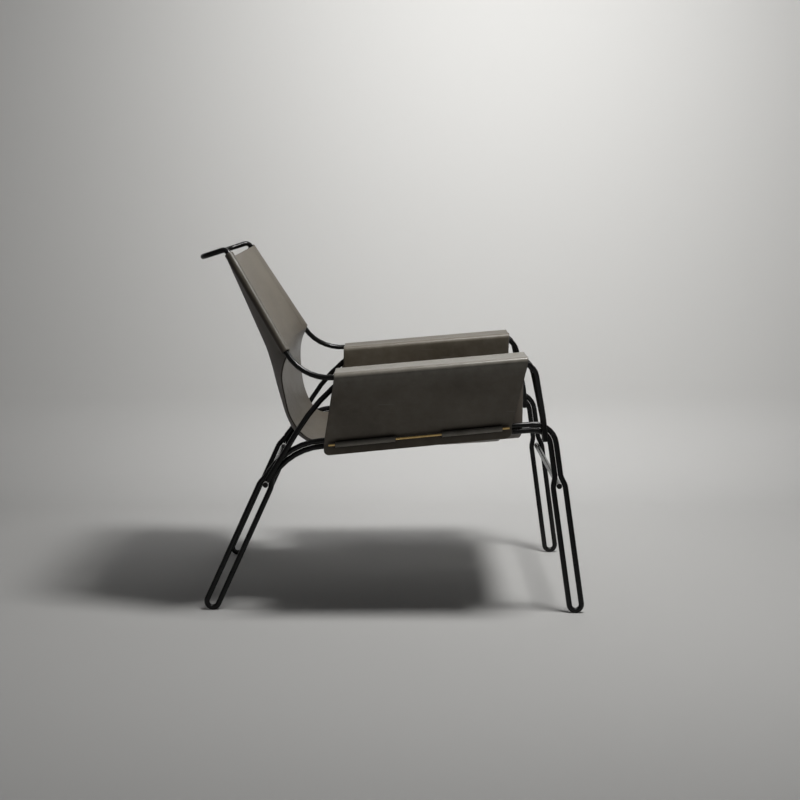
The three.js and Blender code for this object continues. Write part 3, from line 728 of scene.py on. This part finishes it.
# The upright from the arm's rear bend to the head, the stretch of it that the sleeve covers, and the
# way in which the sling leaves it
HEAD = np.array((-370.5, 267, 779.0))
ARM_REAR = np.array((ARM_REAR_X, ARM_OUTER, ARM_REAR_HEIGHT))
UPRIGHT = float(np.linalg.norm(HEAD - ARM_REAR))
UP_WAY = unit(HEAD - ARM_REAR)
UP_INWARD = unit(np.array((0, -1.0, 0)) + UP_WAY * UP_WAY[1])
UP_FORWARD = np.cross(UP_WAY, UP_INWARD)
SLEEVE_LOW = 71.0
SLEEVE_HIGH = UPRIGHT - 12.5
SETBACK = 3.2
LEAVING_SAG = 73
LEAVE = math.pi / 2 - 2 * math.atan(LEAVING_SAG / ARM_OUTER)
HEM_SIDE = UP_INWARD * math.cos(LEAVE) + UP_FORWARD * math.sin(LEAVE)
HEM_WAY = UP_INWARD * math.sin(LEAVE) - UP_FORWARD * math.cos(LEAVE)

# Places down the waist, as shares of the way from the sleeve's end to the seat in x, y and z, and
# along the seat's middle, as shares of its length and rise
WAIST_EDGE_SHARES = [
    (-0.12, 0.05, 0.14), (-0.17, 0.11, 0.29), (-0.13, 0.68, 0.5), (-0.04, 1.02, 0.71),
    (0.17, 1.5, 0.9), (0.42, 1.6, 0.99), (0.75, 1.22, 1),
]
WAIST_MIDDLE_SHARES = [
    (0.03, 0, 0.1), (0.085, 0, 0.22), (0.165, 0, 0.43), (0.25, 0, 0.63),
    (0.37, 0, 0.81), (0.6, 0, 0.92), (0.83, 0, 0.98),
]
SEAT_SHARES = [(0, 0), (0.195, 0.14), (0.395, 0.38), (0.595, 0.6), (0.82, 0.78), (1, 1)]
SEAT_FLATNESS = 0.3
BACK_LINES = 5
WAIST_LINES = len(WAIST_EDGE_SHARES)


def back_line(share):
    head_sag, more_sag = 37, 35
    along = SLEEVE_HIGH + (SLEEVE_LOW - SLEEVE_HIGH) * share
    edge = ARM_REAR + UP_WAY * along + HEM_SIDE * ROUND + HEM_WAY * SETBACK
    sag_way = unit(np.array((-UP_WAY[2], 0, UP_WAY[0])))
    middle = np.array((edge[0], 0, edge[2])) + sag_way * (head_sag + more_sag * share)
    return edge, middle, 0.0


def seat_line(length_share, rise_share):
    seam_gap, rear_height, rise = 0.8, 321, 29
    x = SEAT_REAR_X + (SEAT_FRONT_X - SEAT_REAR_X) * length_share
    seam = arm_section(x)[1]
    edge = np.array((x, seam[0], seam[1] - THICK / 2 - seam_gap))
    return edge, np.array((x, 0, rear_height + rise * rise_share)), SEAT_FLATNESS


def sling_lines():
    """Edge place, middle place and flatness of each cross line, from the head to the seat front."""
    back = [back_line(index / BACK_LINES) for index in range(BACK_LINES + 1)]
    seat = [seat_line(*shares) for shares in SEAT_SHARES]
    low, rear = back[-1], seat[0]
    waist = []
    for index, (edge, middle) in enumerate(zip(WAIST_EDGE_SHARES, WAIST_MIDDLE_SHARES)):
        waist.append((
            low[0] + (rear[0] - low[0]) * np.array(edge),
            low[1] + (rear[1] - low[1]) * np.array(middle),
            SEAT_FLATNESS * index / WAIST_LINES,
        ))
    return back + waist + seat


SLING = sling_lines()
LINES = len(SLING) - 1
SEAT_START = (BACK_LINES + WAIST_LINES + 1) / LINES


def through(places, share):
    """A place on the smooth curve through some places, share from 0 at the first to 1."""
    at = min(max(share, 0), 1) * (len(places) - 1)
    index = min(int(at), len(places) - 2)
    t = at - index
    near, far = places[index], places[index + 1]
    before = places[index - 1] if index else 2 * near - far
    after = places[index + 2] if index + 2 < len(places) else 2 * far - near
    return 0.5 * (
        2 * near + (far - before) * t + (2 * before - 5 * near + 4 * far - after) * t ** 2
        + (3 * near - before - 3 * far + after) * t ** 3
    )


def sling_edge(line):
    """The edge runs straight up the sleeve, and below it the sheet is cut back and free."""
    if line <= BACK_LINES:
        return back_line(line / BACK_LINES)[0]
    free = [place[0] for place in SLING[BACK_LINES:]]
    return through(free, (line - BACK_LINES) / (LINES - BACK_LINES))


STEPS = np.linspace(0, LINES, 30 * LINES + 1)
EDGES = np.array([sling_edge(line) for line in STEPS])
MIDDLES = np.array([through([place[1] for place in SLING], line / LINES) for line in STEPS])
RUN = np.concatenate([[0], np.cumsum(np.linalg.norm(np.diff(MIDDLES, axis=0), axis=1))])


def eased(places):
    """The places with the turn at the sleeve's lower end drawn out, as thick leather bends there."""
    most, least, past_sleeve, lines_wide = 32, 0.05, 0.6, 1.7
    reach = most * np.exp(-((STEPS - BACK_LINES - past_sleeve) / lines_wide) ** 2) + least
    weight = np.exp(-0.5 * ((RUN[None, :] - RUN[:, None]) / reach[:, None]) ** 2)
    weight *= np.gradient(RUN)[None, :]
    return weight @ places / weight.sum(axis=1)[:, None]


SOFT_EDGES = eased(EDGES)
SOFT_MIDDLES = eased(MIDDLES)


def at_line(places, line):
    return np.array([np.interp(line, STEPS, places[:, axis]) for axis in range(3)])


def sling_at(along, across):
    """A place on the sling: along from 0 at the head to 1 at the seat front, across from -1 to 1."""
    line = along * LINES
    edge, middle = at_line(SOFT_EDGES, line), at_line(SOFT_MIDDLES, line)
    edge = edge + (at_line(EDGES, line) - edge) * across ** 8
    flatness = np.interp(line, range(LINES + 1), [place[2] for place in SLING])
    wide = across * across
    rise = wide * (1 - flatness) + abs(across) ** 10 * flatness
    x = middle[0] + (edge[0] - middle[0]) * wide
    place = np.array((x, across * edge[1], middle[2] + (edge[2] - middle[2]) * rise))
    if line > BACK_LINES:
        return place
    rim_share = 0.03
    over_rod = SETBACK * max(0.0, abs(across) - 1 + rim_share) / rim_share
    return place - HEM_WAY * (1, math.copysign(1, across), 1) * over_rod


def build_sling():
    ripple, ripple_length = 1.4, 130
    notch = BACK_LINES / LINES
    along = np.concatenate([
        [0, 0.001, 0.004], np.linspace(0.012, notch - 0.004, 36), [notch - 0.0004, notch],
        np.linspace(notch + 0.0005, 0.988, 100), [0.996, 0.999, 1],
    ])
    half = np.concatenate([np.linspace(0, 0.8, 26), np.linspace(0.82, 0.985, 18), [0.994, 0.998, 1]])
    across = np.concatenate([-half[:0:-1], half])
    middle = []
    for share in along:
        row = [sling_at(share, spot) for spot in across]
        for point, spot in zip(row, across):
            loose = min((1 - abs(spot)) * 2.2, 1)
            point[2] += loose * ripple * noise.noise(tuple(point / ripple_length))
        middle.append(row)
    middle = np.array(middle)
    last = len(across) - 1

    def joined(row, column):
        return column in (0, last) and 0 < along[row] <= notch

    # Paler along the back's edges as a painted highlight where they roll over the uprights, darker below
    # the back and a little less on the seat, and painted shade under the seat towards its front
    on_back = along[:, None] <= notch
    pale_and_highlight = np.clip((abs(across)[None, :] - 0.985) * 20, 0, 1) * on_back
    darkening_and_shade = np.clip((along[:, None] - notch) * 9, 0, 0.7) * np.ones((1, len(across)))
    darkening_and_shade -= np.clip((along[:, None] - 0.5) * 3, 0, 0.35)
    painted_under_shade = np.clip((along[:, None] - 0.6) * 3, 0, 0.8)
    piece = leather_sheet(
        "back_and_seat_sling", middle, joined=joined, pale_and_highlight=pale_and_highlight, darkening_and_shade=darkening_and_shade, painted_under_shade=painted_under_shade,
    )
    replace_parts(piece, "back_seat_sling")
    cut_from(middle)


build_sling()


# The sleeves: the sling's hems, which go on round the uprights and are sewn down flat on the
# sling's back. Their ends are cut square.

def sleeve(side):
    hem_length, hem_clearance = 20, 2.4
    hem_end = HEM_SIDE * (ROUND - THICK - hem_clearance) + HEM_WAY * hem_length
    angle = math.atan2(hem_end @ UP_FORWARD, hem_end @ UP_INWARD)
    last = 2 * math.pi + angle - math.acos(ROUND / np.linalg.norm(hem_end))
    rows = np.concatenate([[0, 0.003, 0.01], np.linspace(0.03, 0.97, 40), [0.99, 0.997, 1]])
    turns = np.concatenate([[0, 0.01, 0.02, 0.035], np.linspace(0.05, 1, 36)])
    hem = np.concatenate([np.linspace(0.08, 0.95, 12), [0.985, 1]])
    middle = []
    for share in rows:
        at = ARM_REAR + UP_WAY * (SLEEVE_LOW + (SLEEVE_HIGH - SLEEVE_LOW) * share)
        row = []
        for turn in turns:
            round_it = LEAVE + (last - LEAVE) * turn
            ripple = 0.3 * noise.noise((share * 9, math.cos(round_it) * 2, math.sin(round_it) * 2))
            reach = ROUND + (0.1 + ripple) * min(1, 6 * turn)
            row.append(at + (UP_INWARD * math.cos(round_it) + UP_FORWARD * math.sin(round_it)) * reach)
        start, end = row[-1], at + hem_end
        row += [start + (end - start) * spot for spot in hem]
        middle.append(row)

    def joined(row, column):
        return column == 0

    # A painted highlight in a band along the roll, and painted shade round the rest of the roll and on
    # the hem
    painted_crest_highlight = np.concatenate([0.75 * np.exp(-((turns - 0.2) / 0.09) ** 2), np.zeros(len(hem))])
    painted_roll_shade = np.concatenate([np.clip(turns * 14 - 0.5, 0, 0.5), np.full(len(hem), 0.5)])
    pale_and_highlight, darkening_and_shade = np.tile(painted_crest_highlight, (len(rows), 1)), np.tile(painted_roll_shade, (len(rows), 1))
    piece = leather_sheet(f"sleeve_{side}", middle, -1, side == "right", joined, pale_and_highlight=pale_and_highlight, darkening_and_shade=darkening_and_shade)
    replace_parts(piece, f"back_sleeve_{side}")
    cut_from(middle)


sleeve("right")
sleeve("left")


# The straps: two wide leather bands under the seat. Each end comes out under the rail and through
# the outer flap's slit, goes round the lock pin and returns through the slit.

def under_seat(x, across):
    """A place just under the sling at one x, found by halving the stretch that it lies in."""
    nudge, clearance = 0.002, 0.6
    low, high = SEAT_START, 1.0
    for _ in range(24):
        half = (low + high) / 2
        low, high = (half, high) if sling_at(half, 0)[0] < x else (low, half)
    slope = sling_at(low, across + nudge) - sling_at(low, across - nudge)
    away = unit(flat(slope[2], -slope[1]))
    return sling_at(low, across)[1:] + away * (THICK + clearance)


def strap_half(x):
    """Half of a strap's line in one plane across the chair, from its returned end to its middle."""
    pin, _, _, down, inward, _ = arm_section(x)
    loop, small_bend, rod_drop = 4.4, 3.2, 6.2
    tail_gap, tail_start, tail_bend = 0.3, 15.8, 13.5
    across_shares = (0.91, 0.87, 0.83, 0.77, 0.7, 0.6, 0.5, 0.37, 0.25, 0.12, 0)
    start = pin + flat(0, -loop)
    tail = start + flat(0, THICK + tail_gap)
    knee = start + flat(-(ROUND + 2.25 * THICK), 0)
    rod = flat(frame_half_width(x, rail_height(x)), rail_height(x) - rod_drop)
    seat = [under_seat(x, share) for share in across_shares]

    def beside(inwards, downs):
        return pin + inward * loop * inwards + down * loop * downs

    def under(at, sign):
        to_rod = rod - at
        return unit(turned(to_rod, sign * math.asin(ROUND / np.linalg.norm(to_rod))))

    level = flat(-1, 0)
    route = [
        (tail + level * tail_start, 0, 0),
        (tail + level * tail_bend, 0, 0),
        (crossing(beside(1, 0), down, tail, level), small_bend, 5),
        (beside(1, -1), loop, 7),
        (beside(-1, -1), loop, 7),
        (crossing(beside(-1, 0), down, start, level), loop, 6),
        (knee, small_bend, 4),
        (crossing(knee, under(knee, 1), seat[0], under(seat[0], -1)), ROUND, 7),
    ]
    return [(x, *at) for at in rounded_route(route + [(at, 0, 0) for at in seat])]


def strap(name, start):
    shares = np.concatenate([[0, 0.004, 0.015], np.linspace(0.06, 0.94, 20), [0.985, 0.996, 1]])
    middle = []
    for share in shares:
        half = strap_half(start + STRAP_WIDTH * share)
        middle.append(half + [(x, -y, z) for x, y, z in half[-2::-1]])
    piece = leather_sheet(f"{name}_leather", middle)
    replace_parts(piece, name)
    cut_from(middle)


for name, start in STRAP_STARTS.items():
    strap(name, start)


# The stitching: waxed thread in even saddle stitches, sunk a little into the leather. It holds
# the sleeves' hems and the seams between the seat and the arm leathers.

def thread_material():
    material, tree, shader = new_material("waxed thread")
    where = tree.nodes.new("ShaderNodeTexCoord").outputs["Object"]
    strand = noise_node(tree, 2600, 2, where)
    tone = blend_colours(tree, strand, (0.03, 0.026, 0.022, 1), (0.085, 0.074, 0.062, 1))
    tree.links.new(tone, shader.inputs["Base Color"])
    shader.inputs["Roughness"].default_value = 0.55
    bump(tree, shader, strand, 0.00015, 0.8)
    return material


def stitch_run(places, normals):
    """Lens-shaped stitches along some places, each lying on the leather with a gap to the next."""
    pitch, length_share, half_width, half_height = 5.2, 0.8, 0.5, 0.4
    sides, swelling = 6, (-1, -0.8, -0.35, 0.35, 0.8, 1)
    places, normals = np.array(places), unit(np.array(normals))
    lengths = np.linalg.norm(np.diff(places, axis=0), axis=1)
    reached = np.concatenate([[0], np.cumsum(lengths)])

    def found(values, distance):
        return np.array([np.interp(distance, reached, values[:, axis]) for axis in range(3)])

    points, faces = [], []
    for index in range(int(reached[-1] / pitch)):
        centre = (index + 0.5) * pitch
        at, up = found(places, centre), unit(found(normals, centre))
        ahead = found(places, centre + 1) - at
        ahead = unit(ahead - up * (ahead @ up))
        beside = np.cross(up, ahead)
        first = len(points)
        for spot in swelling:
            girth = math.sqrt(max(0.02, 1 - spot * spot))
            for side in range(sides):
                angle = 2 * math.pi * side / sides
                out = beside * half_width * math.cos(angle) + up * half_height * math.sin(angle)
                points.append(at + ahead * spot * pitch * length_share / 2 + out * girth)
        for ring in range(first, first + sides * (len(swelling) - 1), sides):
            for side in range(sides):
                a, b = ring + side, ring + (side + 1) % sides
                faces.append((a, b, b + sides, a + sides))
        faces.append(tuple(range(first, first + sides))[::-1])
        faces.append(tuple(range(len(points) - sides, len(points))))
    return points, faces


def sling_line(spots):
    """Places and normals on the sling's grain side at some (along, across) spots."""
    nudge = 0.002
    places, normals = [], []
    for along, across in spots:
        here = sling_at(along, across)
        down = sling_at(min(along + nudge, 1), across) - sling_at(max(along - nudge, 0), across)
        over = sling_at(along, across + nudge) - sling_at(along, across - nudge)
        normal = unit(np.cross(down, over))
        places.append(here + normal * THICK * 0.5)
        normals.append(normal)
    return places, normals


def sew(name, runs):
    points, faces = [], []
    for places, normals in runs:
        more, loops = stitch_run(places, normals)
        faces += [tuple(index + len(points) for index in loop) for loop in loops]
        points += more
    piece = mesh_piece(name, in_metres(points), faces, thread)
    piece.data.polygons.foreach_set("use_smooth", [True] * len(faces))
    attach(piece, "chair")


thread = thread_material()


def hem_seam(side):
    """Down the back over the sleeve's hem, a little in from the sling's edge."""
    inset = 15
    spots = []
    for along in np.linspace(0.012, BACK_LINES / LINES - 0.008, 60):
        spots.append((along, side * (1 - inset / abs(sling_at(along, 1)[1]))))
    return sling_line(spots)


def seat_seam(side):
    """Along the seat's edge, just inside the arm leather."""
    return sling_line([(along, side * 0.978) for along in np.linspace(SEAT_START, 0.995, 90)])


def arm_seam(side):
    """Along the arm leather's inner flap, a little above the seat."""
    rise = 5
    places, normals = [], []
    for x in np.linspace(-134, 263, 90):
        _, seam, way, _, _, _ = arm_section(x)
        normal = flat(-way[1], way[0])
        normal = -normal if normal[0] > 0 else normal
        at = seam + way * rise + normal * THICK * 0.5
        places.append((x, side * at[0], at[1]))
        normals.append((0, side * normal[0], normal[1]))
    return places, normals


sew("sling_stitching", [seam(side) for side in (-1, 1) for seam in (hem_seam, seat_seam, arm_seam)])
